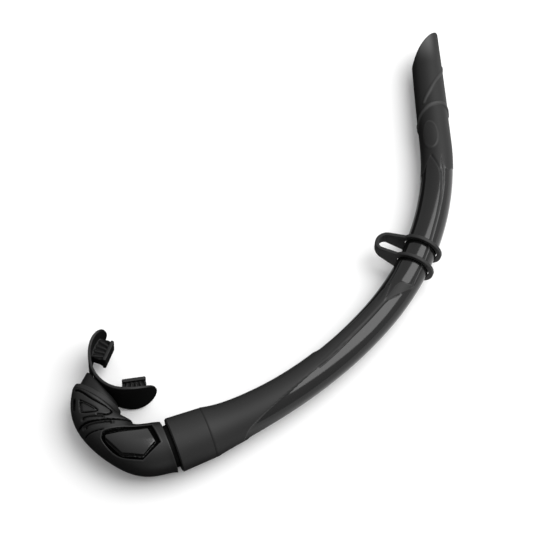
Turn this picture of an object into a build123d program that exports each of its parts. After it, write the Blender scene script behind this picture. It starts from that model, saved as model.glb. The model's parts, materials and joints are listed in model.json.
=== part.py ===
from build123d import *
import os
from math import cos, exp, pi, radians, sin

# Roll-up snorkel lying on its side. The J of the airway lies in a horizontal plane,
# AXIS_Z above the table, and the mouthpiece faces back towards the tube.
# Millimetres and degrees throughout. Headings are measured from +X towards +Y.

# --- place of the whole object -------------------------------------------------------
SWIVEL_X = -69.76
SWIVEL_Y = -166.82
TUBE_HEADING = 22.0

# --- tube ----------------------------------------------------------------------------
TUBE_R = 12.3
TUBE_BORE_R = 9.6
TIP_R = 11.4
LOWER_BEND_R = 310.0
LOWER_BEND_DEG = 28.6
UPPER_BEND_R = 222.0
UPPER_BEND_DEG = 41.4
TOP_RUN = 104.5
FLARE_LENGTH = 95.0
FLARE_DECAY = 28.0
FLARE_STEPS = 8
SCARF_LENGTH = 36.0
SCARF_BULGE = 4.0
TIP_LAND = 3.0

# --- cuff, connector and swivel ------------------------------------------------------
COLLAR_LENGTH = 25.0
COLLAR_R = 19.5
COLLAR_SEAM_R = 18.2
COLLAR_EDGE = 0.8
SWIVEL_GAP = 3.4
NECK_R = 15.8
SOCKET_R = 13.4
SOCKET_DEPTH = 8.0
FLARE_BORE_R = 12.6
SPIGOT_BORE_R = 11.8
BARREL_R = 15.2
BARREL_LENGTH = 6.5
BEAD_HEIGHT = 0.6
BEAD_LENGTH = 1.2
O_RING_WIRE_R = 0.9
O_RING_SETBACK = 2.4
SEAT_FIT = 0.04
RUNNING_FIT = 0.08
BEAD_ROOM = 0.25

# --- elbow ---------------------------------------------------------------------------
HOUSING_WALL = 2.2
HOUSING_END_WALL = 2.0
SLEEVE_R = 16.6
LINER_WALL = 1.6
LINER_FIT = 0.1
LINER_START = 0.3
BARREL_HOUSING_R = 18.6
# stations of the elbow's middle line from the swivel centre: across X, across Y,
# heading, half width in the plane of the J, half height
ELBOW_STATIONS = [
    (-12.0, -2.2, 194.0, 18.6, 18.6),
    (-26.2, -2.0, 175.0, 17.1, 18.2),
    (-38.4, 4.8, 136.0, 15.8, 17.6),
    (-47.2, 14.6, 100.0, 19.2, 17.0),
    (-51.9, 22.9, 80.0, 20.0, 16.6),
    (-54.6, 32.4, 60.0, 19.2, 16.2),
]
# slots of the cage, from the swivel centre: middle across X and Y, length, heading
CAGE_SLOTS = [
    (-49.5, 10.3, 19.0, 7.0),
    (-53.7, 15.3, 15.0, 1.0),
    (-68.0, 26.9, 8.5, 93.0),
]
CAGE_SLOT_WIDTH = 2.2
# corners of the cage's three-sided opening, from the swivel centre
CAGE_WINDOW = [(-64.2, 28.6), (-62.6, 20.6), (-51.0, 20.8)]
CAGE_WINDOW_CORNER_R = 0.8
CAGE_SLOT_CLEAR = 6.0
LIP_BAND_LENGTH = 3.4

# --- purge valve, from the swivel centre and from the plane of the J -------------------
PURGE_OUTLINE = [
    (-44.4, 3.0),
    (-15.6, 7.8),
    (-9.0, -3.2),
    (-17.6, -13.0),
    (-32.6, -11.4),
    (-44.2, -1.1),
]
PURGE_CORNER_R = 2.5
PURGE_X = -25.5
PURGE_Y = -3.1
PURGE_GROOVE = 2.0
COVER_PROUD = 0.5
COVER_WALL = 1.8
COVER_POSTS = [(-38.0, -0.6), (-15.4, -2.6)]
COVER_POST_R = 1.5
SEAT_TOP = 10.6
SEAT_PLATE = 1.8
SEAT_RIM = 1.2
SEAT_RIM_TOP = 15.2
LINER_WINDOW_ROOM = 0.3
DIAPHRAGM_R = 6.2
DIAPHRAGM_THICKNESS = 0.8
DIAPHRAGM_REST = 0.05
PORT_R = 5.2
HUB_R = 2.0
SPOKE_WIDTH = 1.2
SPOKES = 3
STEM_R = 0.9
STEM_FIT = 0.08
BULB_R = 1.5
BULB_LENGTH = 1.2
FLAP_LIFT = 1.0
BULB_ROOM = 0.3

# --- mouthpiece, from the swivel centre ------------------------------------------------
MOUTH_X = -31.7
MOUTH_Y = 64.8
MOUTH_HEADING = 41.0
MOUTH_LEAN = 6.0
MOUTH_DROP = 2.6
FLANGE_R = 29.0
FLANGE_THICKNESS = 2.0
FLANGE_WING = 0.5
LOBE_HALF_HEIGHT = 16.6
WAIST_HALF_HEIGHT = 12.0
NECK_WALL = 2.2
NECK_ROOT_INSET = 2.6
NECK_HALF_WIDTH = 12.0
NECK_HALF_HEIGHT = 10.0
NECK_BAND_ROOM = 0.6
NECK_FLANGE_ROOM = 0.3
MOUTH_HALF_WIDTH = 9.8
MOUTH_HALF_HEIGHT = 7.8
TAB_HALF_HEIGHT = 6.2
TAB_THICKNESS = 2.6
TAB_LENGTH = 17.0
TAB_REACH = 10.6
TAB_STEM_HALF_HEIGHT = 4.0
TAB_STEM_LENGTH = 16.0
TAB_TURN = 60.0

# --- mask strap keeper ---------------------------------------------------------------
KEEPER_DEG = 14.7
KEEPER_SPACING = 16.5
KEEPER_THICKNESS = 2.8
KEEPER_WALL = 3.7
KEEPER_REACH = 33.5
KEEPER_STRAIGHT = 10.0
KEEPER_FOLD_SPAN = 16.5
KEEPER_FOLD_HALF_WIDTH = 3.8
KEEPER_ROOT_HALF_WIDTH = 12.5
KEEPER_FIT = 0.3

os.makedirs("parts", exist_ok=True)

AXIS_Z = COLLAR_R
SWIVEL = Vector(SWIVEL_X, SWIVEL_Y, AXIS_Z)
UP = Vector(0, 0, 1)


def heading(degrees):
    return Vector(cos(radians(degrees)), sin(radians(degrees)), 0)


def along_tube(distance):
    """Plane across the swivel axis, this far from the middle of the gap."""
    axis = heading(TUBE_HEADING)
    return Plane(origin=SWIVEL + axis * distance, x_dir=UP, z_dir=axis)


def across(line, share):
    """Plane across a stretch of the tube's middle line."""
    return Plane(origin=line @ share, x_dir=UP, z_dir=line % share)


def save(piece, name):
    piece.part.label = name
    export_step(piece.part, f"parts/{name}.step")


# --- middle line of the tube ---------------------------------------------------------
HALF_GAP = SWIVEL_GAP / 2
SEAM = HALF_GAP + COLLAR_LENGTH
FLARE_DEG = FLARE_LENGTH / LOWER_BEND_R * 180 / pi

with BuildLine() as middle:
    collar_run = Line(SWIVEL, SWIVEL + heading(TUBE_HEADING) * SEAM)
    flare_bend = JernArc(collar_run @ 1, collar_run % 1, LOWER_BEND_R, FLARE_DEG)
    lower_bend = JernArc(flare_bend @ 1, flare_bend % 1, LOWER_BEND_R, LOWER_BEND_DEG - FLARE_DEG)
    upper_bend = JernArc(lower_bend @ 1, lower_bend % 1, UPPER_BEND_R, UPPER_BEND_DEG)
    top_run = Line(upper_bend @ 1, upper_bend @ 1 + (upper_bend % 1) * TOP_RUN)
BENDS = Wire([lower_bend, upper_bend])


def flare(share, end_radius, seam_radius):
    """Radius along the flare: it dies away from the seam and meets the tube's own."""
    left = exp(-FLARE_LENGTH / FLARE_DECAY)
    fade = (exp(-share * FLARE_LENGTH / FLARE_DECAY) - left) / (1 - left)
    return end_radius + (seam_radius - end_radius) * fade


def flare_sections(end_radius, seam_radius):
    sections = []
    for step in range(FLARE_STEPS + 1):
        share = step / FLARE_STEPS
        with BuildSketch(across(flare_bend, share)) as section:
            Circle(flare(share, end_radius, seam_radius))
        sections.append(section.sketch)
    return sections


with BuildSketch(across(top_run, 0)) as top_start:
    Circle(TUBE_R)
with BuildSketch(across(top_run, 1)) as top_end:
    Circle(TIP_R)

with BuildPart() as tube:
    loft(sections=flare_sections(TUBE_R, COLLAR_SEAM_R))
    with BuildSketch(across(lower_bend, 0)):
        Circle(TUBE_R)
    sweep(path=BENDS)
    loft(sections=[top_start.sketch, top_end.sketch])
    with BuildSketch(along_tube(SEAM)):
        Circle(NECK_R)
    extrude(amount=-COLLAR_LENGTH)
    loft(sections=flare_sections(TUBE_BORE_R, FLARE_BORE_R), mode=Mode.SUBTRACT)
    with BuildSketch(across(lower_bend, 0)):
        Circle(TUBE_BORE_R)
    sweep(path=BENDS, mode=Mode.SUBTRACT)
    with BuildSketch(across(top_run, 0)):
        Circle(TUBE_BORE_R)
    extrude(amount=TOP_RUN, mode=Mode.SUBTRACT)
    with BuildSketch(along_tube(HALF_GAP)):
        Circle(SOCKET_R)
    extrude(amount=COLLAR_LENGTH + SOCKET_DEPTH, mode=Mode.SUBTRACT)
    # scarf at the open end: the outer side of the bend stays the longer
    tip = Plane(origin=top_run @ 1, x_dir=(top_run % 1).cross(UP), z_dir=UP)
    with BuildSketch(tip):
        with BuildLine():
            scarf = SagittaArc((-TUBE_R - 1, -SCARF_LENGTH), (TUBE_R - TIP_LAND, 0), SCARF_BULGE)
            Polyline(scarf @ 1, (TUBE_R - TIP_LAND, 1), (-TUBE_R - 1, 1), scarf @ 0)
        make_face()
    extrude(amount=TUBE_R + 1, both=True, mode=Mode.SUBTRACT)
save(tube, "tube")

with BuildPart() as collar:
    with BuildSketch(along_tube(HALF_GAP)):
        Circle(COLLAR_R)
    with BuildSketch(along_tube(SEAM)):
        Circle(COLLAR_SEAM_R)
    loft()
    chamfer(collar.faces().sort_by(Axis(SWIVEL, heading(TUBE_HEADING)))[0].edges(), COLLAR_EDGE)
    with BuildSketch(along_tube(HALF_GAP)):
        Circle(NECK_R + SEAT_FIT)
    extrude(amount=COLLAR_LENGTH, mode=Mode.SUBTRACT)
save(collar, "collar")

# The connector is one rigid tube: a spigot inside the tube's neck and a wider barrel
# that the elbow turns on. Its bead snaps into the elbow, and an O-ring seals it.
BARREL_END = -HALF_GAP - BARREL_LENGTH
with BuildPart() as connector:
    with BuildSketch(along_tube(BARREL_END)):
        Circle(BARREL_R)
    extrude(amount=HALF_GAP - BARREL_END)
    with BuildSketch(along_tube(BARREL_END)):
        Circle(BARREL_R + BEAD_HEIGHT)
    extrude(amount=BEAD_LENGTH)
    with BuildSketch(along_tube(HALF_GAP)):
        Circle(SOCKET_R - SEAT_FIT)
    extrude(amount=COLLAR_LENGTH + SOCKET_DEPTH)
    with BuildSketch(along_tube(BARREL_END)):
        Circle(SPIGOT_BORE_R)
    extrude(amount=HALF_GAP - BARREL_END + COLLAR_LENGTH + SOCKET_DEPTH, mode=Mode.SUBTRACT)
    with BuildSketch(along_tube(-HALF_GAP - O_RING_SETBACK - O_RING_WIRE_R)):
        Circle(BARREL_R + BEAD_HEIGHT)
        Circle(BARREL_R - 2 * O_RING_WIRE_R, mode=Mode.SUBTRACT)
    extrude(amount=2 * O_RING_WIRE_R, mode=Mode.SUBTRACT)
save(connector, "connector")

with BuildPart() as o_ring:
    ring_plane = Plane(
        origin=along_tube(-HALF_GAP - O_RING_SETBACK).origin,
        x_dir=heading(TUBE_HEADING),
        z_dir=heading(TUBE_HEADING).cross(UP),
    )
    with BuildSketch(ring_plane):
        with Locations((0, BARREL_R - O_RING_WIRE_R)):
            Circle(O_RING_WIRE_R)
    revolve(axis=Axis(SWIVEL, heading(TUBE_HEADING)))
save(o_ring, "o_ring")


# --- elbow ---------------------------------------------------------------------------
def elbow_plane(station):
    x, y, turn = station[:3]
    return Plane(origin=SWIVEL + Vector(x, y, 0), x_dir=heading(turn - 90), z_dir=heading(turn))


def elbow_sections(inset):
    """Sections of the elbow, this far inside its outer surface, from the gap to the lip."""
    with BuildSketch(along_tube(-HALF_GAP)) as gap_section:
        Circle(BARREL_HOUSING_R - inset)
    sections = [gap_section.sketch]
    for station in ELBOW_STATIONS:
        with BuildSketch(elbow_plane(station)) as section:
            Ellipse(station[3] - inset, station[4] - inset)
        sections.append(section.sketch)
    return sections


def purge_window(inset, height):
    """Outline of the purge window, this far inside its edge, at a height over the J's plane."""
    with BuildSketch(Plane(SWIVEL).offset(height)) as window:
        with BuildLine():
            Polyline(*PURGE_OUTLINE, close=True)
        make_face()
        fillet(window.vertices(), PURGE_CORNER_R)
        if inset:
            offset(amount=-inset, mode=Mode.REPLACE)
    return window.sketch


BEAD_START = BARREL_END - BEAD_ROOM
LINER_FACE = BEAD_START - HOUSING_END_WALL - LINER_START
WALL_TOP = SWIVEL_GAP + 2 * BARREL_HOUSING_R

with BuildPart() as elbow_housing:
    loft(sections=elbow_sections(0))
    loft(sections=elbow_sections(HOUSING_WALL), mode=Mode.SUBTRACT)
    with BuildSketch(along_tube(-HALF_GAP)):
        Circle(BARREL_HOUSING_R - HOUSING_WALL / 2)
    extrude(amount=-HOUSING_END_WALL)
    with BuildSketch(along_tube(-HALF_GAP)):
        Circle(SLEEVE_R)
    extrude(amount=BEAD_START - HOUSING_END_WALL + HALF_GAP)
    with BuildSketch(along_tube(-HALF_GAP)):
        Circle(BARREL_R + RUNNING_FIT)
    extrude(amount=-BARREL_LENGTH - BEAD_ROOM, mode=Mode.SUBTRACT)
    with BuildSketch(along_tube(BEAD_START)):
        Circle(BARREL_R + BEAD_HEIGHT + BEAD_ROOM)
    extrude(amount=BEAD_LENGTH + 2 * BEAD_ROOM, mode=Mode.SUBTRACT)
    with BuildSketch(along_tube(BEAD_START)):
        Circle(SPIGOT_BORE_R)
    extrude(amount=-2 * HOUSING_END_WALL, mode=Mode.SUBTRACT)
    extrude(purge_window(0, SEAT_TOP - SEAT_PLATE), amount=WALL_TOP, dir=UP, mode=Mode.SUBTRACT)
    for x, y, length, turn in CAGE_SLOTS:
        for side in (1, -1):
            slot_plane = Plane(
                origin=SWIVEL + Vector(x, y, side * CAGE_SLOT_CLEAR),
                x_dir=heading(turn),
                z_dir=UP * side,
            )
            with BuildSketch(slot_plane):
                SlotOverall(length, CAGE_SLOT_WIDTH)
            extrude(amount=WALL_TOP, mode=Mode.SUBTRACT)
    for side in (1, -1):
        with BuildSketch(Plane(SWIVEL).offset(side * CAGE_SLOT_CLEAR)) as opening:
            with BuildLine():
                Polyline(*CAGE_WINDOW, close=True)
            make_face()
            fillet(opening.vertices(), CAGE_WINDOW_CORNER_R)
        extrude(amount=WALL_TOP, dir=UP * side, mode=Mode.SUBTRACT)
save(elbow_housing, "elbow_housing")

# Soft liner of the elbow: the airway's wall behind the cage
with BuildPart() as elbow_liner:
    loft(sections=elbow_sections(HOUSING_WALL + LINER_FIT))
    loft(sections=elbow_sections(HOUSING_WALL + LINER_FIT + LINER_WALL), mode=Mode.SUBTRACT)
    with BuildSketch(along_tube(0)):
        Circle(2 * BARREL_HOUSING_R)
    extrude(amount=LINER_FACE, mode=Mode.SUBTRACT)
    extrude(
        purge_window(-LINER_WINDOW_ROOM, SEAT_TOP - SEAT_PLATE - LINER_WINDOW_ROOM),
        amount=WALL_TOP,
        dir=UP,
        mode=Mode.SUBTRACT,
    )
save(elbow_liner, "elbow_liner")

lip = elbow_plane(ELBOW_STATIONS[-1])
LIP_HALF_WIDTH = ELBOW_STATIONS[-1][3]
LIP_HALF_HEIGHT = ELBOW_STATIONS[-1][4]
with BuildPart() as lip_band:
    with BuildSketch(lip):
        Ellipse(LIP_HALF_WIDTH, LIP_HALF_HEIGHT)
        Ellipse(
            LIP_HALF_WIDTH - NECK_ROOT_INSET + NECK_BAND_ROOM,
            LIP_HALF_HEIGHT - NECK_ROOT_INSET + NECK_BAND_ROOM,
            mode=Mode.SUBTRACT,
        )
    extrude(amount=LIP_BAND_LENGTH)
save(lip_band, "lip_band")

# --- purge valve ---------------------------------------------------------------------
valve = Plane(SWIVEL + Vector(PURGE_X, PURGE_Y, SEAT_TOP))
with BuildPart() as purge_seat:
    extrude(purge_window(SEAT_FIT, SEAT_TOP - SEAT_PLATE), amount=SEAT_PLATE, dir=UP)
    extrude(
        purge_window(SEAT_FIT, SEAT_TOP) - purge_window(SEAT_FIT + SEAT_RIM, SEAT_TOP),
        amount=SEAT_RIM_TOP - SEAT_TOP,
        dir=UP,
    )
    with BuildSketch(valve):
        Circle(PORT_R)
        Circle(HUB_R, mode=Mode.SUBTRACT)
        with PolarLocations(0, SPOKES):
            Rectangle(PORT_R, SPOKE_WIDTH, align=(Align.MIN, Align.CENTER), mode=Mode.SUBTRACT)
    extrude(amount=-SEAT_PLATE, mode=Mode.SUBTRACT)
    with BuildSketch(valve):
        Circle(STEM_R + STEM_FIT)
    extrude(amount=-SEAT_PLATE, mode=Mode.SUBTRACT)
save(purge_seat, "purge_seat")

with BuildPart() as purge_diaphragm:
    with BuildSketch(valve.offset(DIAPHRAGM_REST)):
        Circle(DIAPHRAGM_R)
    extrude(amount=DIAPHRAGM_THICKNESS)
    with BuildSketch(valve.offset(DIAPHRAGM_REST)):
        Circle(STEM_R)
    extrude(amount=-SEAT_PLATE - FLAP_LIFT - BULB_ROOM - BULB_LENGTH)
    with BuildSketch(valve.offset(-SEAT_PLATE - FLAP_LIFT - BULB_ROOM)):
        Circle(BULB_R)
    extrude(amount=-BULB_LENGTH)
save(purge_diaphragm, "purge_diaphragm")

with BuildPart() as purge_cover:
    extrude(purge_window(PURGE_GROOVE, SEAT_TOP), amount=WALL_TOP, dir=UP)
    loft(sections=elbow_sections(-COVER_PROUD), mode=Mode.INTERSECT)
    loft(sections=elbow_sections(COVER_WALL - COVER_PROUD), mode=Mode.SUBTRACT)
    for x, y in COVER_POSTS:
        with BuildSketch(Plane(SWIVEL + Vector(x, y, SEAT_TOP))):
            Circle(COVER_POST_R)
        extrude(until=Until.NEXT)
save(purge_cover, "purge_cover")

# --- mouthpiece ----------------------------------------------------------------------
# The mouthpiece hangs a little from the soft neck, so its lower edge meets the table.
MOUTH = SWIVEL + Vector(MOUTH_X, MOUTH_Y, -MOUTH_DROP)
CHORD = heading(MOUTH_HEADING - 90)
MOUTH_UP = UP.rotate(Axis((0, 0, 0), CHORD), -MOUTH_LEAN)
FORWARD = MOUTH_UP.cross(CHORD)
FLANGE_BACK = FLANGE_R + FLANGE_THICKNESS / 2
mouth_top = Plane(origin=MOUTH, x_dir=CHORD, z_dir=MOUTH_UP)
mouth_side = Plane(origin=MOUTH, x_dir=FORWARD, z_dir=CHORD)
mouth_back = Plane(origin=MOUTH - FORWARD * FLANGE_BACK, x_dir=CHORD, z_dir=FORWARD)


def neck_sections(inset):
    """Sections of the soft neck, from inside the elbow's lip to the back of the flange."""
    with BuildSketch(lip.offset(LINER_FIT)) as root:
        Ellipse(
            LIP_HALF_WIDTH - NECK_ROOT_INSET - inset,
            LIP_HALF_HEIGHT - NECK_ROOT_INSET - inset,
        )
    with BuildSketch(lip.offset(LIP_BAND_LENGTH)) as mouth_of_band:
        Ellipse(
            LIP_HALF_WIDTH - NECK_ROOT_INSET - inset,
            LIP_HALF_HEIGHT - NECK_ROOT_INSET - inset,
        )
    with BuildSketch(mouth_back.offset(-NECK_FLANGE_ROOM)) as end:
        Ellipse(NECK_HALF_WIDTH - inset, NECK_HALF_HEIGHT - inset)
    return [root.sketch, mouth_of_band.sketch, end.sketch]


with BuildPart() as mouthpiece_neck:
    loft(sections=neck_sections(0))
    loft(sections=neck_sections(NECK_WALL), mode=Mode.SUBTRACT)
save(mouthpiece_neck, "mouthpiece_neck")

with BuildPart() as mouthpiece:
    with BuildSketch(mouth_top):
        Circle(FLANGE_BACK)
        Circle(FLANGE_BACK - FLANGE_THICKNESS, mode=Mode.SUBTRACT)
        Rectangle(2 * FLANGE_BACK, FLANGE_BACK, align=(Align.CENTER, Align.MIN), mode=Mode.SUBTRACT)
        with Locations((FLANGE_R, 0), (-FLANGE_R, 0)):
            Rectangle(FLANGE_THICKNESS, FLANGE_WING, align=(Align.CENTER, Align.MIN))
    extrude(amount=LOBE_HALF_HEIGHT, both=True)
    with BuildSketch(mouth_side):
        with Locations((FLANGE_WING - LOBE_HALF_HEIGHT, 0)):
            Circle(LOBE_HALF_HEIGHT)
        with Locations((-FLANGE_BACK, 0)):
            Rectangle(1, 2 * WAIST_HALF_HEIGHT)
        make_hull()
    extrude(amount=FLANGE_BACK, both=True, mode=Mode.INTERSECT)
    with BuildSketch(mouth_back):
        Ellipse(MOUTH_HALF_WIDTH, MOUTH_HALF_HEIGHT)
    extrude(amount=FLANGE_R, mode=Mode.SUBTRACT)
    for side in (1, -1):
        # bite tabs stand inside the flange, square to its radius
        turn = side * TAB_TURN - 90
        with BuildSketch(mouth_top.offset(-TAB_STEM_HALF_HEIGHT)):
            with PolarLocations(FLANGE_R - TAB_REACH / 2, 1, start_angle=turn):
                Rectangle(TAB_REACH, TAB_STEM_LENGTH)
            Circle(FLANGE_R, mode=Mode.INTERSECT)
        extrude(amount=2 * TAB_STEM_HALF_HEIGHT)
        with BuildSketch(mouth_top.offset(-TAB_HALF_HEIGHT)):
            with PolarLocations(FLANGE_R - TAB_REACH - TAB_THICKNESS / 2, 1, start_angle=turn):
                RectangleRounded(TAB_THICKNESS, TAB_LENGTH, TAB_THICKNESS / 3)
        extrude(amount=2 * TAB_HALF_HEIGHT)
save(mouthpiece, "mouthpiece")

# --- mask strap keeper ---------------------------------------------------------------
KEEPER_RING_R = TUBE_R + KEEPER_FIT + KEEPER_WALL
keeper_share = KEEPER_DEG / UPPER_BEND_DEG
KEEPER_TANGENT = upper_bend % keeper_share
keeper_top = Plane(origin=upper_bend @ keeper_share, x_dir=UP.cross(KEEPER_TANGENT), z_dir=UP)
keeper_side = Plane(origin=keeper_top.origin, x_dir=keeper_top.x_dir, z_dir=KEEPER_TANGENT)
keeper_span = KEEPER_SPACING + KEEPER_THICKNESS
fold_x = KEEPER_REACH - KEEPER_FOLD_SPAN / 2
with BuildPart() as strap_keeper:
    with BuildSketch(keeper_top):
        with Locations((-KEEPER_RING_R, 0)):
            Rectangle(
                KEEPER_RING_R + KEEPER_STRAIGHT, keeper_span, align=(Align.MIN, Align.CENTER)
            )
        with Locations((fold_x, 0)):
            Circle(KEEPER_FOLD_SPAN / 2)
        make_hull()
    extrude(amount=KEEPER_RING_R, both=True)
    with BuildSketch(keeper_top):
        with Locations((-2 * KEEPER_RING_R, 0)):
            Rectangle(
                2 * KEEPER_RING_R + KEEPER_STRAIGHT,
                KEEPER_SPACING - KEEPER_THICKNESS,
                align=(Align.MIN, Align.CENTER),
            )
        with Locations((fold_x, 0)):
            Circle(KEEPER_FOLD_SPAN / 2 - KEEPER_THICKNESS)
        make_hull()
    extrude(amount=2 * KEEPER_RING_R, both=True, mode=Mode.SUBTRACT)
    with BuildSketch(keeper_side):
        Circle(KEEPER_ROOT_HALF_WIDTH)
        with Locations((KEEPER_REACH - KEEPER_THICKNESS, 0)):
            Rectangle(2 * KEEPER_THICKNESS, 2 * KEEPER_FOLD_HALF_WIDTH)
        make_hull()
        Circle(KEEPER_RING_R)
    extrude(amount=keeper_span, both=True, mode=Mode.INTERSECT)
    with BuildSketch(across(upper_bend, 0)):
        Circle(TUBE_R + KEEPER_FIT)
    sweep(path=upper_bend, mode=Mode.SUBTRACT)
save(strap_keeper, "strap_keeper")
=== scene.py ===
import json
import math

import bpy
import numpy as np
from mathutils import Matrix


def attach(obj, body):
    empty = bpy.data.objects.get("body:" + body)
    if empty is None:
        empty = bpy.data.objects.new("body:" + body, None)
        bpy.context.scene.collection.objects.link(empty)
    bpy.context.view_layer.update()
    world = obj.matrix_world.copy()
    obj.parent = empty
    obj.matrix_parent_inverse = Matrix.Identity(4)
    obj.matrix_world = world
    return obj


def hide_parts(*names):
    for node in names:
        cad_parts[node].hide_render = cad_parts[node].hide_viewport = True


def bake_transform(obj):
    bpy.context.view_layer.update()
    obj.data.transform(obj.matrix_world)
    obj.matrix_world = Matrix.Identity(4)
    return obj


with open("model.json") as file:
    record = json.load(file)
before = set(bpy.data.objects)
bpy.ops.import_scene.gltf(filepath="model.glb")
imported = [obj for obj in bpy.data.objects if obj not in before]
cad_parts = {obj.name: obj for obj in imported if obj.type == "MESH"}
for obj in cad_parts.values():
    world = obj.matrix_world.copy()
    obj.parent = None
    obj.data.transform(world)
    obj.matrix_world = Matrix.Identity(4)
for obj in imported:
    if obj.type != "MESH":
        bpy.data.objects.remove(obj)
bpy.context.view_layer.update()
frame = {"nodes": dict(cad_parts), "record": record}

# Roll-up snorkel lying on its side. Lengths here are in millimetres and angles in degrees;
# points are turned into metres as they are put into a piece's mesh.
MM = 0.001

# --- camera and studio -----------------------------------------------------------------
CAMERA_AIM = (-3.76, -22.22, 13.0)
CAMERA_DISTANCE = 975.0
CAMERA_ELEVATION = 62.0
CAMERA_LENS = 87.8
FLOOR_SIZE = 6000.0
# name, place, size across, power in watts, colour
SOFTBOXES = [
    ("overhead_softbox", (640.0, 90.0, 1200.0), 1180.0, 17.0, "FFFFFF"),
]
# brightness of the room: in the middle, and how much more towards +X, +Y and up
ROOM_LIGHT = 0.66
ROOM_TURNS = (0.36, 0.36, 0.25)
# how light the floor is where the camera sees it, and where the object mirrors it
FLOOR_SEEN = "FAFAFA"
FLOOR_MIRRORED = ("303030", "E8E8E8")
# the mirrored floor is a painted shadow: it goes from dark to light across these distances, along X
# and against Y
FLOOR_TURNS = (1.0, -0.45, 0.0)
FLOOR_FADE = (0.055, 0.1)

# --- middle line of the tube -----------------------------------------------------------
TUBE_HEADING = 22.0
LOWER_BEND_R = 310.0
LOWER_BEND_DEG = 28.6
UPPER_BEND_R = 222.0
UPPER_BEND_DEG = 41.4
TOP_RUN = 104.5
SEAM_FROM_SWIVEL = 26.7
TUBE_R = 12.3
TIP_R = 11.4
BORE_R = 9.6
SEAM_R = 18.2
SEAM_BORE_R = 12.6
NECK_R = 15.8
SOCKET_R = 13.4
SOCKET_DEPTH = 8.0
COLLAR_LENGTH = 25.0
FLARE_LENGTH = 95.0
FLARE_DECAY = 28.0
LOWER_RUN = LOWER_BEND_R * math.radians(LOWER_BEND_DEG)
UPPER_RUN = UPPER_BEND_R * math.radians(UPPER_BEND_DEG)
TUBE_LENGTH = LOWER_RUN + UPPER_RUN + TOP_RUN
# the slanted open end: circle through the scarf, in the plane of the J, from the tip's centre
SCARF_CENTRE = (44.1, -46.97)
SCARF_R = 58.45
SCARF_LAND = 9.3
SCARF_FROM_TIP = 62.0
RIM_ROUND = 0.45
AROUND = 120
ROW_STEP = 0.68

# --- relief of the tube: runs along the tube from the seam, and turns round it from up
# towards the outside of the bend ---------------------------------------------------------
SLEEVE_EDGE = [(21, 90), (25, 62), (32, 47), (42, 34), (51, 26), (63, 16), (78, 7), (90, 3),
               (103, 1), (125, -5), (142, -6), (161, -5)]
SLEEVE_INNER = [(176, -24), (170, -38), (160, -41), (129, -45), (112, -47), (101, -52),
                (97, -66), (95, -80), (95, -90)]
FEATHER = [(161, -5), (166, 3), (171, 14), (178, 32), (185, 49), (184.5, 40), (183, 25),
           (182, 12), (180, -1), (175, -7), (168, -7)]
STRIP_GROOVE = [(172, 22), (166, 5), (161, -3), (142, -5), (125, -4), (103, 3), (90, 6)]
LIGHT_CREASE = [(146, -22), (135, -17), (120, -14), (104, -8), (90, -3), (80, 4)]
LANCE_LEFT = [(298, -26), (294, -39), (289, -52), (283, -61), (271, -68), (258, -73),
              (246, -74), (232, -70), (218, -60), (205, -48), (192, -41), (178, -35),
              (159, -27)]
LANCE_RIGHT = [(298, -26), (291, -9), (285, 4), (278, 12), (269, 17), (257, 20), (243, 22),
               (232, 24), (217, 30), (203, 35), (192, 38), (185, 44)]
SPIKE_RIGHT = [(299, 11), (293, 16), (283, 20), (275, 23), (266, 24), (256, 22)]
CROWN_EDGE = [(281, -90), (283, -78), (284, -66), (289, -52), (294, -39), (298, -26),
              (291, -9), (285, 4), (292, 7), (299, 11), (293, 17), (288, 24), (287, 40),
              (290, 60), (293, 90)]
BEAD_HIGH = [(389, 90), (384, 72), (379, 57), (373, 34), (366, 12), (358, -10), (353, -24),
             (348, -36)]
BEAD_LOW = [(341, 90), (344, 76), (345.5, 61), (347, 45), (347, 20), (346, -1), (344, -21),
            (340.5, -42), (336.5, -66), (331, -84), (327, -90)]
BADGE_CENTRE = (317.5, -26.0)
BADGE_HALF = (12.6, 6.3)
SLEEVE_RAISE = 0.28
SLEEVE_EXTRA = 0.7
CROWN_RAISE = 0.2
TIP_SLEEVE_RAISE = 0.3
BEAD_RAISE = 0.75
BEAD_HALF = 1.5
GROOVE_DEPTH = 0.45
GROOVE_HALF = 0.55
# how a step's edge blends, and the fine bead along it
STEP_BLEND = (-0.35, 0.45)
MASK_BLEND = (-0.25, 0.25)
EDGE_BEAD = 0.12
CROWN_BEAD = 0.1
PAD_RAISE = 0.3
PAD_BEAD = 0.15
FROST_SHEEN_RUN = (34, 8)

# --- elbow ------------------------------------------------------------------------------
CAGE_VOXEL = 0.42
# grooves and creases of the cage, from the swivel centre
RIM_GROOVE = [(-68.0, 37.5), (-65.0, 36.2), (-60.0, 32.6), (-55.2, 29.1), (-49.5, 26.2),
              (-44.5, 23.8), (-41.4, 21.6), (-41.0, 19.6), (-42.6, 17.9), (-45.5, 17.2),
              (-50.5, 17.4)]
WAIST_GROOVE = [(-67.0, 8.6), (-62.7, 10.6), (-58.0, 11.9), (-53.5, 12.5), (-44.3, 13.6),
                (-35.4, 14.6), (-28.5, 15.9), (-24.0, 17.5)]
CHEEK_CREASE = [(-62.5, 2.6), (-57.4, 4.4), (-53.4, 5.3), (-49.0, 6.0), (-45.9, 6.4)]
UPPER_SLOT = [(-61.0, 14.8), (-54.0, 15.5), (-46.5, 15.4)]
LOWER_SLOT = [(-60.0, 9.0), (-50.0, 10.4), (-39.5, 11.7)]
WINDOW_EDGE = [(-63.9, 28.9), (-62.0, 20.0), (-50.5, 20.4), (-63.9, 28.9)]
CHANNEL_OUTLINE = [(-46.6, 3.4), (-44.6, 5.4), (-30.0, 8.6), (-14.6, 10.4), (-12.2, 8.8),
                   (-6.6, -2.4), (-7.2, -4.6), (-16.6, -13.6), (-20.0, -14.6), (-31.5, -12.8),
                   (-39.5, -8.4), (-46.4, -0.6)]
CHANNEL_DEPTH = 2.0
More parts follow.
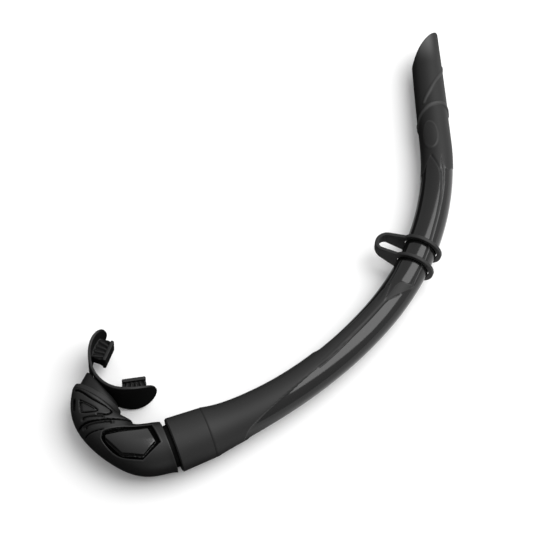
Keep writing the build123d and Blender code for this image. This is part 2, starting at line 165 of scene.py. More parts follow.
# the purge cover is drawn out to the channel's inner edge
COVER_STRETCH = (1.12, 1.15)
# its shell lies above this height over the middle plane, and its posts below
SEAT_RIM_TOP = 15.2
COVER_CROWN = 1.0
# channel and rim: width of the channel's slope, place, width and height of the raised rim
CHANNEL_SLOPE = (-0.2, 0.35)
RIM_FROM_EDGE = 0.55
RIM_SLOPE = (0.1, 0.6)
RIM_RAISE = 0.18

# --- mouthpiece ----------------------------------------------------------------------------
MOUTH_FROM_SWIVEL = (-31.7, 64.8, -2.6)
MOUTH_HEADING = 41.0
MOUTH_LEAN = 6.0
RIB_SPACING_DEG = 9.0
RIB_HEIGHT = 0.7


# the keeper's rings stand this far off the plain tube
KEEPER_ROOM = 0.75


def linear(hex_colour):
    """sRGB hex to the linear colour a shader takes."""
    parts = [int(hex_colour[i:i + 2], 16) / 255 for i in (0, 2, 4)]
    curve = [p / 12.92 if p <= 0.04045 else ((p + 0.055) / 1.055) ** 2.4 for p in parts]
    return (*curve, 1.0)


def add(tree, kind, inputs=None, **settings):
    """A new node with its settings, its fixed values and its links."""
    fresh = tree.nodes.new(kind)
    for name, value in settings.items():
        setattr(fresh, name, value)
    for socket, value in (inputs or {}).items():
        if isinstance(value, bpy.types.NodeSocket):
            tree.links.new(value, fresh.inputs[socket])
        else:
            fresh.inputs[socket].default_value = value
    return fresh


# --- moulded finish, shared by every material -------------------------------------------------
# size in mm of the slow changes of colour and gloss, and the noise range that gloss follows
CLOUD_MM = 24
CLOUD_RANGE = (0.3, 0.7)
# grain size in mm, noise range, share and colour of the light dust
DUST_MM = 1.1
DUST_RANGE = (0.7, 0.8)
DUST_SHARE = 0.25
DUST_COLOUR = "454545"
GRAIN_ROUGHNESS = 0.6
GRAIN_STRENGTH = 0.35
COAT_ROUGH = 0.12


# --- geometry helpers ---------------------------------------------------------------------
def deselect():
    if bpy.context.object and bpy.context.object.mode != "OBJECT":
        bpy.ops.object.mode_set(mode="OBJECT")
    bpy.ops.object.select_all(action="DESELECT")


def only(piece):
    deselect()
    piece.select_set(True)
    bpy.context.view_layer.objects.active = piece


def points(piece):
    flat = np.empty(len(piece.data.vertices) * 3)
    piece.data.vertices.foreach_get("co", flat)
    return flat.reshape(-1, 3)


def move_points(piece, places):
    piece.data.vertices.foreach_set("co", np.ascontiguousarray(places, dtype=float).ravel())
    piece.data.update()


def normals(piece):
    flat = np.empty(len(piece.data.vertices) * 3, dtype=np.float32)
    piece.data.vertex_normals.foreach_get("vector", flat)
    return flat.reshape(-1, 3).astype(float)


def paint(piece, name, values):
    """Keeps one number for each point, for the material to read."""
    layer = piece.data.attributes.new(name, "FLOAT", "POINT")
    layer.data.foreach_set("value", np.ascontiguousarray(values, dtype=np.float32))


def modify(piece, kind, **settings):
    only(piece)
    modifier = piece.modifiers.new(kind.lower(), kind)
    for name, value in settings.items():
        setattr(modifier, name, value)
    bpy.ops.object.modifier_apply(modifier=modifier.name)


def smooth(piece):
    only(piece)
    bpy.ops.object.shade_smooth()


def merged(piece, reach=1e-6, outward=True):
    """Joins points that coincide, and turns every face outwards."""
    only(piece)
    bpy.ops.object.mode_set(mode="EDIT")
    bpy.ops.mesh.select_all(action="SELECT")
    bpy.ops.mesh.remove_doubles(threshold=reach)
    if outward:
        bpy.ops.mesh.normals_make_consistent(inside=False)
    bpy.ops.object.mode_set(mode="OBJECT")


def softened(node, name, voxel, passes):
    """The CAD piece with moulded, rounded edges, as one even skin that relief can be cut in."""
    source = frame["nodes"][node]
    piece = source.copy()
    piece.data = source.data.copy()
    piece.name = name
    piece.data.name = name
    piece.parent = None
    piece.data.materials.clear()
    bpy.context.collection.objects.link(piece)
    merged(piece, outward=False)
    modify(piece, "REMESH", mode="VOXEL", voxel_size=voxel * MM, adaptivity=0.0)
    modify(piece, "SMOOTH", factor=0.5, iterations=passes)
    smooth(piece)
    return piece


def settle(piece, body, material):
    piece.data.materials.clear()
    piece.data.materials.append(material)
    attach(piece, body)
    return piece


def darken(piece, mask, level, material):
    """A second material, for painted shade, on the faces whose mask is over the level. The faces
    have four sides.
    """
    values = np.empty(len(piece.data.vertices), dtype=np.float32)
    piece.data.attributes[mask].data.foreach_get("value", values)
    corners = np.empty(len(piece.data.loops), dtype=np.int32)
    piece.data.loops.foreach_get("vertex_index", corners)
    share = values[corners].reshape(-1, 4).mean(axis=1)
    piece.data.materials.append(material)
    piece.data.polygons.foreach_set("material_index", (share > level).astype(np.int32))


def rounded_line(corners, spacing=1.0):
    """A smooth line through the corners, as closely spaced points."""
    corners = np.array(corners, dtype=float)
    ends = [2 * corners[0] - corners[1], *corners, 2 * corners[-1] - corners[-2]]
    made = []
    for a, b, c, d in zip(ends, ends[1:], ends[2:], ends[3:]):
        count = max(2, int(np.linalg.norm(c - b) / spacing))
        for t in np.arange(count) / count:
            made.append(0.5 * (2 * b + (c - a) * t + (2 * a - 5 * b + 4 * c - d) * t * t
                               + (3 * b - a - 3 * c + d) * t ** 3))
    made.append(ends[-2])
    return np.array(made)


def distance_to_line(flat, line):
    """Shortest distance from each flat point to a line of points."""
    best = np.full(len(flat), 1e9)
    for a, b in zip(line, line[1:]):
        run = b - a
        share = np.clip((flat - a) @ run / max(run @ run, 1e-12), 0, 1)
        away = flat - a - share[:, None] * run
        best = np.minimum(best, np.einsum("ij,ij->i", away, away))
    return np.sqrt(best)


def inside(flat, outline):
    """True for the flat points within a closed outline."""
    within = np.zeros(len(flat), dtype=bool)
    for a, b in zip(outline, np.roll(outline, -1, axis=0)):
        crosses = (a[1] > flat[:, 1]) != (b[1] > flat[:, 1])
        with np.errstate(divide="ignore", invalid="ignore"):
            at = (b[0] - a[0]) * (flat[:, 1] - a[1]) / (b[1] - a[1]) + a[0]
        within ^= crosses & (flat[:, 0] < at)
    return within


def ease(value, low, high):
    t = np.clip((value - low) / (high - low), 0, 1)
    return t * t * (3 - 2 * t)


def depth_inside(flat, outline):
    """Distance to the outline, positive within it."""
    closed = np.vstack([outline, outline[:1]])
    return np.where(inside(flat, outline), 1, -1) * distance_to_line(flat, closed)


# --- middle line ----------------------------------------------------------------------------
swivel_joint = next(joint for joint in frame["record"]["behaviour"]["joints"]
                    if joint["name"] == "elbow_swivel")
SWIVEL = np.array(swivel_joint["pos_m"]) / MM
AXIS_Z = SWIVEL[2]


def along(s):
    """Points of the middle line and its headings in radians, at runs from the seam."""
    s = np.asarray(s, dtype=float)
    turn = math.radians(TUBE_HEADING)
    start = SWIVEL[:2] + SEAM_FROM_SWIVEL * np.array([math.cos(turn), math.sin(turn)])
    before = np.minimum(s, 0)
    x = start[0] + before * math.cos(turn)
    y = start[1] + before * math.sin(turn)
    bearing = np.full_like(s, turn)
    left = np.maximum(s, 0)
    for radius, run in ((LOWER_BEND_R, LOWER_RUN), (UPPER_BEND_R, UPPER_RUN)):
        part = np.minimum(left, run) / radius
        x = x + radius * (np.sin(bearing + part) - np.sin(bearing))
        y = y - radius * (np.cos(bearing + part) - np.cos(bearing))
        bearing = bearing + part
        left = np.maximum(left - run, 0)
    return x + left * np.cos(bearing), y + left * np.sin(bearing), bearing


def flare(s, end_r, seam_r):
    spent = math.exp(-FLARE_LENGTH / FLARE_DECAY)
    fade = (np.exp(-np.clip(s, 0, FLARE_LENGTH) / FLARE_DECAY) - spent) / (1 - spent)
    return end_r + (seam_r - end_r) * fade


def skin_r(s):
    """Outer radius of the plain tube."""
    taper = np.clip((s - LOWER_RUN - UPPER_RUN) / TOP_RUN, 0, 1)
    return flare(s, TUBE_R, SEAM_R) + (TIP_R - TUBE_R) * taper


def tube_places(s, turn, r):
    """Places in metres on the tube, at runs, turns from up in radians, and radii."""
    x, y, bearing = along(s)
    out = r * np.sin(turn)
    place = [x + out * np.sin(bearing), y - out * np.cos(bearing), AXIS_Z + r * np.cos(turn)]
    return np.stack(place, axis=-1) * MM


def scarf_run(turn, r):
    """Run at which the slanted end cuts the wall, at this turn and radius."""
    across = np.minimum(r * np.sin(turn), SCARF_LAND)
    return TUBE_LENGTH + SCARF_CENTRE[1] + np.sqrt(SCARF_R ** 2 - (across - SCARF_CENTRE[0]) ** 2)


def unrolled(corners):
    """Runs and turns as a flat line in millimetres: run, and length round the tube."""
    line = rounded_line(corners, 2.5)
    arc = np.radians(line[:, 1]) * skin_r(line[:, 0])
    return np.stack([line[:, 0], arc], axis=-1)


def tube_relief(s, degrees):
    """Height over the plain tube, then the masks: matt, crease with its painted shade, crest with
    its painted highlight, pad, crown, and frost with its painted sheen.
    """
    # both halves of the mould are alike, so the far side mirrors the near one
    near = np.abs(degrees) <= 90
    degrees = np.where(near, degrees, np.sign(degrees) * 180 - degrees)
    r = skin_r(s)
    flat = np.stack([s, np.radians(degrees) * r], axis=-1)
    reach = math.pi / 2 * 1.05

    seam_corner = [(-2.0, -reach * SEAM_R), (-2.0, reach * SEAM_R)]
    sleeve = np.vstack([unrolled(SLEEVE_EDGE), unrolled(SLEEVE_INNER),
                        [(95.0, -reach * TUBE_R), seam_corner[0], seam_corner[1]]])
    feather = unrolled(FEATHER)
    crown = np.vstack([unrolled(CROWN_EDGE), [(293.0, 2 * TUBE_R), (440.0, 2 * TUBE_R),
                                              (440.0, -2 * TUBE_R), (281.0, -2 * TUBE_R)]])
    tip_sleeve = np.vstack([unrolled(BEAD_LOW), [(327.0, -2 * TUBE_R), (440.0, -2 * TUBE_R),
                                                 (440.0, 2 * TUBE_R), (341.0, 2 * TUBE_R)]])
    in_sleeve = depth_inside(flat, sleeve)
    in_feather = depth_inside(flat, feather)
    in_crown = depth_inside(flat, crown)
    in_tip = depth_inside(flat, tip_sleeve)
    cover = np.maximum(in_sleeve, in_feather)

    thick = SLEEVE_RAISE + SLEEVE_EXTRA * (1 - ease(s, 105, 150)) * ease(s, 6, 45)
    height = thick * ease(cover, *STEP_BLEND)
    height += CROWN_RAISE * ease(in_crown, *STEP_BLEND)
    height += TIP_SLEEVE_RAISE * ease(in_tip, -0.4, 0.5) * ease(TUBE_LENGTH - s, 5, 60)
    matt = np.maximum(ease(cover, *MASK_BLEND), ease(in_crown, *MASK_BLEND))

    crease_shade = np.zeros_like(s)
    crest_highlight = np.zeros_like(s)

    def groove(corners, half_width, deep, shade=1.0):
        nonlocal height, crease_shade
        away = distance_to_line(flat, unrolled(corners))
        cut = 1 - ease(away, 0, half_width * 1.6)
        height = height - deep * cut
        crease_shade = np.maximum(crease_shade, shade * (1 - ease(away, half_width * 0.4, half_width * 1.5)))

    def bead(corners, half_width, high):
        nonlocal height, crest_highlight
        away = distance_to_line(flat, unrolled(corners))
        profile = np.sqrt(np.clip(1 - (away / half_width) ** 2, 0, 1))
        height = height + high * profile
        crest_highlight = np.maximum(crest_highlight, profile)

    groove(STRIP_GROOVE, GROOVE_HALF, GROOVE_DEPTH)
    groove(LIGHT_CREASE, 0.5, 0.15, 0.3)
    groove(LANCE_LEFT, 0.6, 0.25, 0.55)
    groove(LANCE_RIGHT, 0.8, 0.5)
    groove(SPIKE_RIGHT, 0.5, 0.25, 0.6)
    edge = np.abs(cover)
    height = height + EDGE_BEAD * (1 - ease(edge, 0, 0.9)) * (s > 4)
    # painted highlight along the sleeve's edge bead
    crest_highlight = np.maximum(crest_highlight, 0.6 * (1 - ease(edge, 0, 0.6)) * (s > 4))
    rim = np.abs(in_crown)
    height = height + CROWN_BEAD * (1 - ease(rim, 0, 0.8))
    crest_highlight = np.maximum(crest_highlight, 0.5 * (1 - ease(rim, 0, 0.6)))
    bead(BEAD_HIGH, BEAD_HALF * 0.8, BEAD_RAISE * 0.8)
    bead(BEAD_LOW, BEAD_HALF, BEAD_RAISE)

    # blank oval pad, on the near half only
    offset = flat - [BADGE_CENTRE[0], math.radians(BADGE_CENTRE[1]) * TUBE_R]
    oval = np.sqrt((offset[:, 0] / BADGE_HALF[0]) ** 2 + (offset[:, 1] / BADGE_HALF[1]) ** 2)
    pad = (1 - oval) * BADGE_HALF[1]
    pad = np.where(near, pad, -9)
    height = height + PAD_RAISE * ease(pad, -0.3, 0.4)
    height = height + PAD_BEAD * (1 - ease(np.abs(pad - 0.3), 0, 0.7))
    crest_highlight = np.maximum(crest_highlight, 0.7 * (1 - ease(np.abs(pad - 0.2), 0, 0.6)))
    smooth_pad = ease(pad, 0.2, 0.8)
    crown_skin = ease(in_crown, *MASK_BLEND)
    # frosted patch near the tip, on its upper side; its rougher finish is real, and its light grey
    # colour is a painted sheen
    frost_and_sheen = ease(s, TUBE_LENGTH - FROST_SHEEN_RUN[0], TUBE_LENGTH - FROST_SHEEN_RUN[1])
    frost_and_sheen = frost_and_sheen * (1 - ease(np.abs(degrees + 8), 12, 48))
    # painted shade where the tube meets the collar at the seam
    crease_shade = np.maximum(crease_shade, 0.8 * (1 - ease(s, 0.1, 0.9)) * (s > 0))
    return height, matt, crease_shade, crest_highlight, smooth_pad, crown_skin, frost_and_sheen


def make_tube():
    """One closed skin: neck, flare, bends, slanted tip, then back down the bore."""
    outer = np.arange(0, TUBE_LENGTH, ROW_STEP)
    rows = [("bore", -COLLAR_LENGTH, SOCKET_R), ("bore", -COLLAR_LENGTH, NECK_R - 0.3),
            ("bore", -COLLAR_LENGTH + 0.3, NECK_R), ("bore", -0.01, NECK_R),
            ("bore", 0.0, SEAM_R - 0.35)]
    rows += [("skin", max(s, 0.05), 0.0) for s in outer]
    rows += [("rim", share, 0.0) for share in (0.0, 0.12, 0.3, 0.5, 0.7, 0.88, 1.0)]
    rows += [("lining", s, 0.0) for s in np.arange(TUBE_LENGTH, SOCKET_DEPTH, -5.0)]
    rows += [("bore", SOCKET_DEPTH, SOCKET_R), ("bore", -COLLAR_LENGTH, SOCKET_R)]
    deselect()
    bpy.ops.mesh.primitive_grid_add(x_subdivisions=len(rows) - 1, y_subdivisions=AROUND, size=1)
    piece = bpy.context.object
    piece.name = piece.data.name = "airway_tube"
    grid = points(piece)
    row = np.rint((grid[:, 0] + 0.5) * (len(rows) - 1)).astype(int)
    turn = grid[:, 1] * 2 * math.pi
    kinds = np.array([kind for kind, _, _ in rows])[row]
    s = np.array([value for _, value, _ in rows])[row]
    r = np.array([value for _, _, value in rows])[row]

    # the outer rows draw together towards the slanted end
    start = TUBE_LENGTH - SCARF_FROM_TIP
    outer_end = scarf_run(turn, skin_r(scarf_run(turn, np.full_like(turn, TIP_R + 0.3))))
    bore_end = scarf_run(turn, np.full_like(turn, BORE_R))
    skin = kinds == "skin"
    lining = kinds == "lining"
    rim = kinds == "rim"
    last = outer[-1]
    drawn = start + (s - start) * (outer_end - RIM_ROUND - start) / (last - start)
    s = np.where(skin & (s > start), drawn, s)
    drawn = start + (s - start) * (bore_end - start - 0.2) / (TUBE_LENGTH - start)
    s = np.where(lining & (s > start), drawn, s)
    height, matt, crease_shade, crest_highlight, pad, crown_skin, frost_and_sheen = tube_relief(s, np.degrees(turn))
    keep = skin * ease(s, 0.0, 1.2)
    r = np.where(skin, skin_r(s) - 0.35 * (1 - ease(s, 0, 0.7)) + height * keep, r)
    r = np.where(lining, flare(s, BORE_R, SEAM_BORE_R), r)
    share = np.where(rim, s, 0)
    lip_out = skin_r(outer_end) + 0.12
    s = np.where(rim, outer_end + (bore_end - outer_end) * share, s)
    s = np.where(rim & ((share == 0) | (share == 1)), s - RIM_ROUND * 0.35, s)
    r = np.where(rim, lip_out + (BORE_R - lip_out) * share - 0.1 * np.sin(math.pi * share), r)
    move_points(piece, tube_places(s, turn, r))
    soft_skin = np.where(skin, matt, 1.0)
    paint(piece, "matt", soft_skin)
    paint(piece, "crease_shade", crease_shade * skin)
    paint(piece, "crest_highlight", crest_highlight * skin)
    paint(piece, "pad", pad * skin)
    paint(piece, "crown", crown_skin * skin)
    paint(piece, "frost_and_sheen", frost_and_sheen * skin)
    merged(piece, reach=1e-5)
    smooth(piece)
    return piece


def cut_grooves(piece, lines):
    """Presses lines into the upper and lower faces of the cage.

    Each line comes with its half width, its depth and how strong the painted shade in its bottom
    is."""
    place = points(piece) / MM
    out = normals(piece)
    flat = place[:, :2] - SWIVEL[:2]
    facing = ease(np.abs(out[:, 2]), 0.12, 0.35)
    # only the cage's outer skin: its face looks away from the middle plane
    outer = np.sign(place[:, 2] - AXIS_Z) == np.sign(out[:, 2])
    crease_shade = np.zeros(len(flat))
    sink = np.zeros(len(flat))
    for corners, half_width, deep, shade in lines:
        away = distance_to_line(flat, rounded_line(corners, 0.8))
        cut = (1 - ease(away, half_width * 0.35, half_width * 1.25)) * facing * outer
        sink = np.maximum(sink, deep * cut)
        crease_shade = np.maximum(crease_shade, shade * cut)
    move_points(piece, (place - out * sink[:, None]) * MM)
    return crease_shade


def make_cage():
    piece = softened("elbow_housing", "elbow_cage", CAGE_VOXEL, 3)
    crease_shade = cut_grooves(piece, [
        (RIM_GROOVE, 0.9, 0.9, 1.0),
        (WAIST_GROOVE, 1.0, 1.0, 1.0),
        (CHEEK_CREASE, 0.8, 0.5, 0.7),
        (UPPER_SLOT, 1.2, 1.0, 0.7),
        (LOWER_SLOT, 1.3, 1.0, 0.3),
        (WINDOW_EDGE, 0.6, 0.8, 1.0),
    ])
    # channel round the purge cover, with a thin raised rim outside it
    place = points(piece) / MM
    out = normals(piece)
    flat = place[:, :2] - SWIVEL[:2]
    upper = (place[:, 2] > AXIS_Z + 8) & (out[:, 2] > 0.3)
    edge = depth_inside(flat, rounded_line(CHANNEL_OUTLINE + CHANNEL_OUTLINE[:1], 0.8))
    channel = ease(edge, *CHANNEL_SLOPE) * upper
    rim = (1 - ease(np.abs(edge + RIM_FROM_EDGE), *RIM_SLOPE)) * upper
    place[:, 2] -= CHANNEL_DEPTH * channel
    move_points(piece, (place + out * (RIM_RAISE * rim)[:, None]) * MM)
    # the channel round the cover gets painted shade as well
    crease_shade = np.maximum(crease_shade, channel)
    paint(piece, "crease_shade", crease_shade)
    # painted highlight on the raised rim
    paint(piece, "crest_highlight", rim)
    return piece


def make_cover():
    piece = softened("purge_cover", "purge_lens", 0.25, 10)
    place = points(piece) / MM
    low, high = place.min(axis=0), place.max(axis=0)
    middle = (low + high) / 2
    skin = place[:, 2] > AXIS_Z + SEAT_RIM_TOP
    stretch = np.where(skin, 1.0, 0.0)[:, None] * (np.array(COVER_STRETCH) - 1) + 1
    place[:, :2] = middle[:2] + (place[:, :2] - middle[:2]) * stretch
    # a little more crown than the elbow's own curve
    away = (place[:, :2] - middle[:2]) / ((high - low)[:2] / 2 * COVER_STRETCH)
    dome = np.clip(1 - np.einsum("ij,ij->i", away, away), 0, 1)
    place[:, 2] += COVER_CROWN * dome * skin
    move_points(piece, place * MM)
    return piece


def make_bite():
    """The bite wing, with chewing ribs across the stems of its tabs."""
    piece = softened("mouthpiece", "bite_wing", 0.35, 3)
    place = points(piece) / MM
    out = normals(piece)
    turn, lean = math.radians(MOUTH_HEADING), math.radians(MOUTH_LEAN)
    centre = SWIVEL + np.array(MOUTH_FROM_SWIVEL)
    chord = np.array([math.sin(turn), -math.cos(turn), 0.0])
    level = np.array([math.cos(turn), math.sin(turn), 0.0])
    forward = level * math.cos(lean) - np.array([0, 0, math.sin(lean)])
    rise = np.cross(chord, forward)
    offset = place - centre
    x, y, z = offset @ chord, offset @ forward, offset @ rise
    r = np.hypot(x, y)
    arc = np.degrees(np.arctan2(np.abs(x), -y))
    on_stem = ease(r, 18.5, 20.0) * (1 - ease(r, 26.6, 27.6)) * (np.abs(z) < 5.2)
    ribs = np.cos(arc / RIB_SPACING_DEG * 2 * math.pi)
    faces = np.abs(out @ rise) > 0.5
    shift = RIB_HEIGHT * ribs * on_stem * faces
    move_points(piece, (place + out * shift[:, None]) * MM)
    # painted shade in the hollows between the chewing ribs
    paint(piece, "crease_shade", np.clip(-ribs, 0, 1) * on_stem)
    # painted highlight on the rib tops and the wing's top edge
    top_edge = (out @ rise > 0.8) * (r > 27.6)
    paint(piece, "crest_highlight", np.maximum(np.clip(ribs, 0, 1) * on_stem * 0.4, top_edge))
    return piece


def make_keeper():
    """The keeper, its rings opened a little so that they clear the tube's relief as it slides."""
    piece = softened("strap_keeper", "strap_clip", 0.35, 4)
    place = points(piece) / MM
    x, y, bearing = along(LOWER_RUN)
    centre = np.array([x - UPPER_BEND_R * np.sin(bearing), y + UPPER_BEND_R * np.cos(bearing)])
    flat = place[:, :2] - centre
    reach = np.hypot(flat[:, 0], flat[:, 1])
    out, rise = reach - UPPER_BEND_R, place[:, 2] - AXIS_Z
    r = np.hypot(out, rise)
    grow = np.maximum(r, TUBE_R + KEEPER_ROOM) / r
    place[:, :2] = centre + flat * ((UPPER_BEND_R + out * grow) / reach)[:, None]
    place[:, 2] = AXIS_Z + rise * grow
    move_points(piece, place * MM)
    return piece


# --- materials --------------------------------------------------------------------------------
def start_material(name):
    material = bpy.data.materials.new(name)
    material.use_nodes = True
    tree = material.node_tree
    tree.nodes.clear()
    where = add(tree, "ShaderNodeTexCoord").outputs["Object"]
    return material, tree, where


def moulded(name, colour, worn, rough, rough_spread, ior, grain_mm, grain_depth, coat=0.0,
            masks=()):
    """Moulded rubber or plastic. The grain is the mould's spark-eroded texture.

    masks holds attribute names with how each changes the finish: name, colour, roughness. Some of
    these colours are painted shade or painted highlight."""
    material, tree, where = start_material(name)
    cloud = add(tree, "ShaderNodeTexNoise",
                {"Vector": where, "Scale": 1 / (CLOUD_MM * MM), "Detail": 3.0})
    fine = add(tree, "ShaderNodeTexNoise",
               {"Vector": where, "Scale": 1 / (grain_mm * MM), "Detail": 2.0,
                "Roughness": GRAIN_ROUGHNESS})
    speck = add(tree, "ShaderNodeTexNoise",
                {"Vector": where, "Scale": 1 / (DUST_MM * MM), "Detail": 1.0})
    dust = add(tree, "ShaderNodeMapRange",
               {"Value": speck.outputs["Fac"], "From Min": DUST_RANGE[0],
                "From Max": DUST_RANGE[1], "To Max": DUST_SHARE})
    tint = add(tree, "ShaderNodeMix", {"Factor": cloud.outputs["Fac"], "A": linear(colour),
                                       "B": linear(worn)}, data_type="RGBA")
    tint_out = tint.outputs["Result"]
    dusty = add(tree, "ShaderNodeMix", {"Factor": dust.outputs["Result"], "A": tint_out,
                                        "B": linear(DUST_COLOUR)}, data_type="RGBA")
    tint_out = dusty.outputs["Result"]
    dull = add(tree, "ShaderNodeMapRange", {"Value": cloud.outputs["Fac"],
                                            "From Min": CLOUD_RANGE[0],
                                            "From Max": CLOUD_RANGE[1],
                                            "To Min": rough - rough_spread,
                                            "To Max": rough + rough_spread})
    rough_out = dull.outputs["Result"]
    for mask, mask_colour, mask_rough in masks:
        read = add(tree, "ShaderNodeAttribute", attribute_name=mask).outputs["Fac"]
        if mask_colour:
            mixed = add(tree, "ShaderNodeMix", {"Factor": read, "A": tint_out,
                                                "B": linear(mask_colour)}, data_type="RGBA")
            tint_out = mixed.outputs["Result"]
        if mask_rough is not None:
            mixed = add(tree, "ShaderNodeMix", {"Factor": read, "A": rough_out, "B": mask_rough},
                        data_type="FLOAT")
            rough_out = mixed.outputs["Result"]
    bump = add(tree, "ShaderNodeBump", {"Height": fine.outputs["Fac"], "Strength": GRAIN_STRENGTH,
                                        "Distance": grain_depth * MM})
    shader = add(tree, "ShaderNodeBsdfPrincipled",
                 {"Base Color": tint_out, "Roughness": rough_out, "IOR": ior,
                  "Normal": bump.outputs["Normal"], "Coat Weight": coat,
                  "Coat Roughness": COAT_ROUGH})
    add(tree, "ShaderNodeOutputMaterial", {"Surface": shader.outputs["BSDF"]})
    return material


# Liquid silicone rubber, injection moulded: polished mould faces give the tube's gloss, and
# the sleeve, feather and crown come from spark-eroded faces, so they are soft and matt.
# crest paints a light grey on ridges, beads and the pad's rim: a painted highlight
tube_silicone = moulded(
    "tube_silicone", "0E0E0E", "131313", 0.13, 0.02, 1.43, 0.5, 0.01,
    masks=(("matt", "171717", 0.6), ("crown", "0B0B0B", 0.55), ("pad", "151515", 0.4),
           # frost's rougher finish is real; its light grey colour is a painted sheen
           ("frost_and_sheen", "4A4A4A", 0.5),
           # crease paints a near-black into the grooves and the seam: painted shade
           ("crest_highlight", "2C2C2C", None), ("crease_shade", "060606", 0.6)))
# The same silicone with the matt finish all over, on the cuff that the tube ends in
cuff_silicone = moulded("cuff_silicone", "171717", "1C1C1C", 0.6, 0.04, 1.43, 0.6, 0.03)
# Glass-filled nylon, injection moulded with a fine texture: an even low sheen, with a painted
# highlight on the raised rim and painted shade in the grooves
cage_nylon = moulded(
    "cage_nylon", "131313", "181818", 0.46, 0.04, 1.45, 0.5, 0.03,
    masks=(("crest_highlight", "2A2A2A", None), ("crease_shade", "050505", 0.6)))
# Polycarbonate with a polished face: dark and wet-looking, with soft broad reflections
cover_polycarbonate = moulded("cover_polycarbonate", "101010", "141414", 0.22, 0.03, 1.5, 2.0,
                              0.01, coat=0.3)
# Acetal, turned and moulded: hard, black and faintly waxy; its near-black colour is painted shade
# for the dark swivel gap
connector_acetal = moulded("connector_acetal", "010101", "030303", 0.6, 0.05, 1.2, 0.8, 0.01)
# Food-grade silicone of the mouthpiece: satin, soft-edged, with a painted highlight on the rib tops
# and the top edge and painted shade between the ribs
mouth_silicone = moulded("mouth_silicone", "0A0A0A", "0F0F0F", 0.5, 0.04, 1.36, 0.7, 0.02,
                         masks=(("crest_highlight", "262626", None), ("crease_shade", "040404", 0.7)))
# Silicone liner behind the cage: polished, so that it shines through the slots; its lighter grey is
# painted light in the slots
liner_silicone = moulded("liner_silicone", "262626", "2C2C2C", 0.25, 0.03, 1.43, 1.5, 0.01)
# Painted shade: pure black for the deep moulded gaps of the cage, where hardly any light comes back
painted_gap_shade = moulded("painted_gap_shade", "000000", "010101", 0.8, 0.05, 1.12, 0.8, 0.01)
# Nitrile rubber of the seal ring: dull black
seal_nitrile = moulded("seal_nitrile", "0E0E0F", "141415", 0.55, 0.04, 1.52, 0.6, 0.02)
# Thin clear-black silicone of the purge flap
flap_silicone = moulded("flap_silicone", "161617", "1B1B1C", 0.3, 0.03, 1.43, 0.8, 0.01)


def finish_node(node, material):
    """Gives a carried-over CAD piece its material."""
    piece = frame["nodes"][node]
    for slot in piece.material_slots:
        slot.material = material
    if not piece.material_slots:
        piece.data.materials.append(material)


# --- pieces --------------------------------------------------------------------------------------
finish_node("collar", cuff_silicone)
finish_node("connector", connector_acetal)
finish_node("o_ring", seal_nitrile)
finish_node("purge_seat", connector_acetal)
finish_node("purge_diaphragm", flap_silicone)
finish_node("elbow_liner", liner_silicone)

tube = settle(make_tube(), "tube_body", tube_silicone)
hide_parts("tube")

cage = settle(make_cage(), "elbow", cage_nylon)
# painted shade: the deepest grooves and the channel take the black gap material
darken(cage, "crease_shade", 0.6, painted_gap_shade)
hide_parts("elbow_housing")

lip = settle(softened("lip_band", "cage_lip", 0.3, 4), "elbow", cuff_silicone)
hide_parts("lip_band")

cover = settle(make_cover(), "elbow", cover_polycarbonate)
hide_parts("purge_cover")

# the neck is moulded in one with the bite wing: it stretches between the elbow and the wing
neck = softened("mouthpiece_neck", "mouth_neck", 0.35, 4)
neck.data.materials.clear()
neck.data.materials.append(mouth_silicone)
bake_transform(neck)
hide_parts("mouthpiece_neck")

bite = settle(make_bite(), "mouth", mouth_silicone)
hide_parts("mouthpiece")

keeper = settle(make_keeper(), "keeper", cuff_silicone)
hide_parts("strap_keeper")


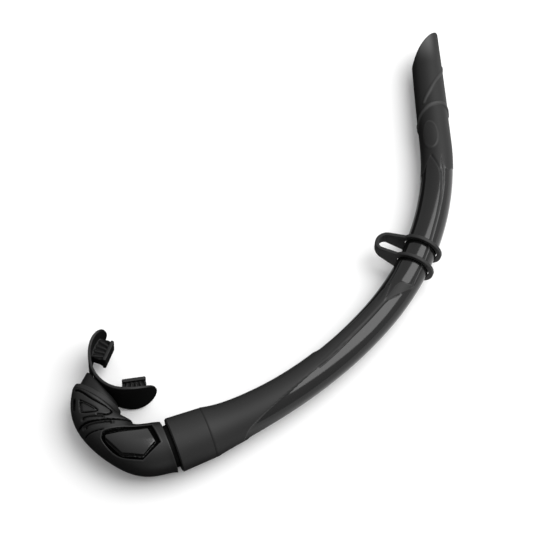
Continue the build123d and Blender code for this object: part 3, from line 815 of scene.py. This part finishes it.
# --- studio ---------------------------------------------------------------------------------------
def studio():
    floor_colour, tree, where = start_material("pale_floor")
    seen = add(tree, "ShaderNodeLightPath").outputs["Is Camera Ray"]
    side = add(tree, "ShaderNodeVectorMath", {0: where, 1: FLOOR_TURNS}, operation="DOT_PRODUCT")
    fade = add(tree, "ShaderNodeMapRange", {"Value": side.outputs["Value"],
                                            "From Min": FLOOR_FADE[0], "From Max": FLOOR_FADE[1]})
    # painted shadow: what the object mirrors of the floor is dark on the side where its shadow
    # falls
    mirrored = add(tree, "ShaderNodeMix", {"Factor": fade.outputs["Result"],
                                           "A": linear(FLOOR_MIRRORED[0]),
                                           "B": linear(FLOOR_MIRRORED[1])}, data_type="RGBA")
    paper = add(tree, "ShaderNodeMix", {"Factor": seen, "A": mirrored.outputs["Result"],
                                        "B": linear(FLOOR_SEEN)}, data_type="RGBA")
    matt = add(tree, "ShaderNodeBsdfDiffuse", {"Color": paper.outputs["Result"]})
    add(tree, "ShaderNodeOutputMaterial", {"Surface": matt.outputs["BSDF"]})
    deselect()
    bpy.ops.mesh.primitive_plane_add(size=FLOOR_SIZE * MM, location=(0, 0, 0))
    floor = bpy.context.object
    floor.name = "floor"
    floor.data.materials.append(floor_colour)
    for name, place, size, power, colour in SOFTBOXES:
        lamp = bpy.data.lights.new(name, "AREA")
        lamp.shape = "SQUARE"
        lamp.size = size * MM
        lamp.energy = power
        lamp.color = linear(colour)[:3]
        holder = bpy.data.objects.new(name, lamp)
        bpy.context.collection.objects.link(holder)
        spot = np.array(place) * MM
        holder.location = spot
        aim = np.array(CAMERA_AIM) * MM - spot
        tilt = math.atan2(math.hypot(aim[0], aim[1]), -aim[2])
        holder.rotation_euler = (tilt, 0, math.atan2(aim[1], aim[0]) - math.pi / 2)
    world = bpy.data.worlds.new("white_room")
    world.use_nodes = True
    room = world.node_tree
    room.nodes.clear()
    sky = add(room, "ShaderNodeTexCoord").outputs["Generated"]
    slope = add(room, "ShaderNodeVectorMath", {0: sky, 1: ROOM_TURNS}, operation="DOT_PRODUCT")
    glow = add(room, "ShaderNodeMath", {0: slope.outputs["Value"], 1: ROOM_LIGHT})
    air = add(room, "ShaderNodeBackground", {"Strength": glow.outputs["Value"]})
    add(room, "ShaderNodeOutputWorld", {"Surface": air.outputs["Background"]})
    bpy.context.scene.world = world
    lens = bpy.data.cameras.new("camera")
    lens.lens = CAMERA_LENS
    lens.sensor_width = 36.0
    lens.clip_start = 0.01
    camera = bpy.data.objects.new("camera", lens)
    bpy.context.collection.objects.link(camera)
    lift = math.radians(CAMERA_ELEVATION)
    back = np.array([0, -math.cos(lift), math.sin(lift)]) * CAMERA_DISTANCE
    camera.location = (np.array(CAMERA_AIM) + back) * MM
    camera.rotation_euler = (math.pi / 2 - lift, 0, 0)
    scene = bpy.context.scene
    scene.camera = camera
    scene.view_settings.view_transform = "Standard"


studio()
